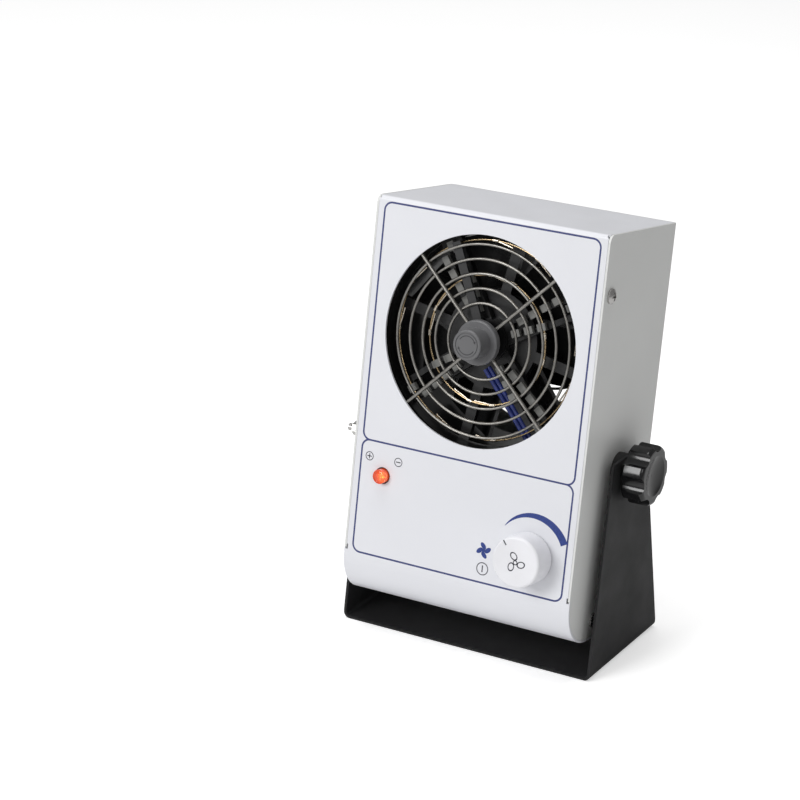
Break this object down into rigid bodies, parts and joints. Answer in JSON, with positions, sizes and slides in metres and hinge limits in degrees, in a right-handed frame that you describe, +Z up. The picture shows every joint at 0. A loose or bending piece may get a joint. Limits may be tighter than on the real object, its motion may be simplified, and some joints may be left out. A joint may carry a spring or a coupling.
{
  "type": "benchtop ionizing blower",
  "caption": "Benchtop ionizing air blower in an off-white sheet-metal case that tilts in a black U bracket, with a round wire outlet grille, a speed knob and a black clamp knob.",
  "frame": {"origin": "centre of the underside of the bracket's base, on the bench", "axes": "+X to the right of someone facing the outlet, towards the clamp knob, +Y towards the back, +Z up"},
  "size_m": [0.1806, 0.1308, 0.2433],
  "materials": {
    "bracket": "fine-textured black powder coat",
    "case": "off-white powder coat with a faint lavender tint",
    "cover": "off-white powder coat",
    "steel": "stainless, satin",
    "zinc": "bright zinc",
    "wire": "plated steel wire",
    "black_plastic": "black moulding, fine texture",
    "fan_plastic": "black glass-filled moulding",
    "grey_plastic": "mid grey moulding",
    "holder_plastic": "light grey moulding",
    "white_plastic": "white moulding, satin",
    "knob_black": "polished black moulding",
    "lens": "clear orange-red, lit",
    "brass": "drawn wire",
    "needle": "drawn, ground to a point",
    "copper": "wound enamelled copper",
    "rubber": "black",
    "lead": "blue insulation",
    "bristle": "nylon tufts",
    "board": "green solder mask",
    "parts": "black and dark grey component cases",
    "epoxy": "black potting",
    "glass": "clear"
  },
  "bodies": {
    "bracket": {"u_bracket": "bracket", "ground_stud": "steel", "ground_nuts": "zinc"},
    "rotor": {"fan_rotor": "fan_plastic", "fan_shaft": "steel"},
    "speed_control": {"speed_knob": "white_plastic", "pot_shaft": "steel"},
    "cleaner": {"cleaning_knob": "grey_plastic", "cleaner_shaft": "steel", "cleaning_brush": "black_plastic", "brush_bristles": "bristle"},
    "clamp": {"clamp_knob": "knob_black", "clamp_stud": "steel"},
    "drawer": {"fuse_drawer": "black_plastic", "fuse": "glass"},
    "case": {"front_shell": "case", "wrap_cover": "cover", "cover_screws": "steel", "pivot_nuts": "zinc", "pivot_spacers": "rubber", "pivot_screw": "zinc", "clamp_washer": "steel", "outlet_grille": "wire", "fan_studs": "zinc", "fan_nuts": "zinc", "emitter_frame": "black_plastic", "needle_holders": "holder_plastic", "inner_wire_ring": "brass", "outer_wire_ring": "brass", "inner_needles": "needle", "outer_needles": "needle", "hv_leads": "lead", "fan_frame": "fan_plastic", "fan_stator": "copper", "intake_guard": "wire", "intake_screws": "steel", "hv_supply": "epoxy", "supply_screws": "zinc", "control_board": "board", "board_parts": "parts", "board_standoffs": "zinc", "board_screws": "zinc", "speed_pot": "steel", "pot_nut": "zinc", "indicator_lens": "lens", "indicator_body": "black_plastic", "power_inlet": "black_plastic", "inlet_pins": "zinc", "inlet_screws": "zinc"}
  },
  "joints": [
    {"name": "tilt", "type": "hinge", "parent": "bracket", "child": "case", "pos_m": [0, 0, 0.1085], "axis": [-1, 0, 0], "range_deg": [-55, 80]},
    {"name": "clamp_turn", "type": "hinge", "parent": "case", "child": "clamp", "pos_m": [0.0859, 0, 0.1085], "axis": [1, 0, 0], "continuous": true},
    {"name": "speed_turn", "type": "hinge", "parent": "case", "child": "speed_control", "pos_m": [0.043, -0.04871, 0.06835], "axis": [0, -0.9848, 0.1736], "range_deg": [-173, 97]},
    {"name": "cleaner_turn", "type": "hinge", "parent": "case", "child": "cleaner", "pos_m": [0, -0.02975, 0.17589], "axis": [0, -0.9848, 0.1736], "continuous": true},
    {"name": "fan_spin", "type": "hinge", "parent": "case", "child": "rotor", "pos_m": [0, 0.01063, 0.16877], "axis": [0, -0.9848, 0.1736], "continuous": true},
    {"name": "fuse_drawer_slide", "type": "slide", "parent": "case", "child": "drawer", "axis": [0, 0.9848, -0.1736], "range_m": [0, 0.024]}
  ]
}
